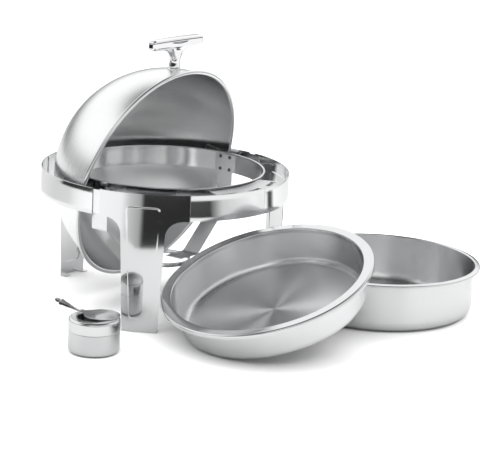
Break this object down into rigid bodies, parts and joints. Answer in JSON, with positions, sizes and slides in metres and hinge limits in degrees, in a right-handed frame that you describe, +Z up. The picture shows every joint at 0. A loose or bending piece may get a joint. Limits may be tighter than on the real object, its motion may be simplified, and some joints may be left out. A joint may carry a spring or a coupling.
{
  "type": "roll top chafer",
  "caption": "Round roll-top chafer: three-legged polished stand with a dome lid that rolls back on side pivots, a water pan, a food pan and a fuel cup with a swinging damper.",
  "frame": {"origin": "middle of the whole set's footprint, on the table; the stand's upright axis is at x = -28.1 mm, y = 131.2 mm", "axes": "+Z up; +X along the lid's pivot axis, to the right of someone at the front; the front, where the lid's handle is when it is shut, faces -Y"},
  "size_m": [0.7637, 0.6948, 0.4638],
  "materials": {
    "mirror_steel": "mirror-polished stainless steel sheet",
    "lid_steel": "mirror-polished outside, satin-brushed inside",
    "satin_steel": "satin stainless steel with polished rims",
    "cast_chrome": "bright chrome plating on a casting",
    "strap_steel": "bright rolled stainless strip",
    "hardware_steel": "turned stainless steel"
  },
  "bodies": {
    "stand": {"leg_left_front": "mirror_steel", "leg_right_front": "mirror_steel", "leg_rear": "mirror_steel", "band_front_left": "mirror_steel", "band_front_right": "mirror_steel", "band_rear_left": "mirror_steel", "band_rear_right": "mirror_steel", "seam_straps": "strap_steel", "gap_straps": "strap_steel", "pan_ring": "mirror_steel", "front_bridge": "mirror_steel", "fuel_arm_left": "strap_steel", "fuel_arm_right": "strap_steel", "arm_rivets_left": "hardware_steel", "arm_rivets_right": "hardware_steel", "fuel_ring": "strap_steel", "ring_bosses": "hardware_steel", "band_bosses": "hardware_steel", "pivot_pin_left": "hardware_steel", "pivot_pin_right": "hardware_steel", "pivot_spacers": "hardware_steel", "pivot_washers": "hardware_steel"},
    "roll_lid": {"lid_shell": "lid_steel", "lid_ear_left": "hardware_steel", "lid_ear_right": "hardware_steel", "handle": "cast_chrome", "handle_collar": "cast_chrome", "handle_screw": "hardware_steel", "handle_washer": "hardware_steel"},
    "water_pan": {"water_pan": "satin_steel"},
    "food_pan": {"food_pan": "satin_steel"},
    "fuel_cup": {"fuel_cup": "satin_steel"},
    "cup_cover": {"cup_cover": "mirror_steel", "damper_rivet": "hardware_steel"},
    "damper": {"damper": "mirror_steel"}
  },
  "joints": [
    {"name": "lid_roll", "type": "hinge", "parent": "stand", "child": "roll_lid", "pos_m": [-0.02815, 0.13115, 0.214], "axis": [-1, 0, 0], "range_deg": [-72.5, 60]},
    {"name": "water_pan_lift", "type": "slide", "parent": "stand", "child": "water_pan", "axis": [0.1002, -0.9016, 0.4208], "range_m": [0, 0.25]},
    {"name": "food_pan_lift", "type": "slide", "parent": "water_pan", "child": "food_pan", "axis": [-0.2314, -0.8792, 0.4165], "range_m": [0, 0.25]},
    {"name": "fuel_cup_lift", "type": "slide", "parent": "stand", "child": "fuel_cup", "axis": [0, 0, 1], "range_m": [0, 0.12]},
    {"name": "cup_cover_lift", "type": "slide", "parent": "fuel_cup", "child": "cup_cover", "axis": [0, 0, 1], "range_m": [0, 0.06]},
    {"name": "damper_swing", "type": "hinge", "parent": "cup_cover", "child": "damper", "pos_m": [-0.33343, 0.04338, 0.0576], "axis": [0, 0, 1], "range_deg": [-25, 75]}
  ]
}
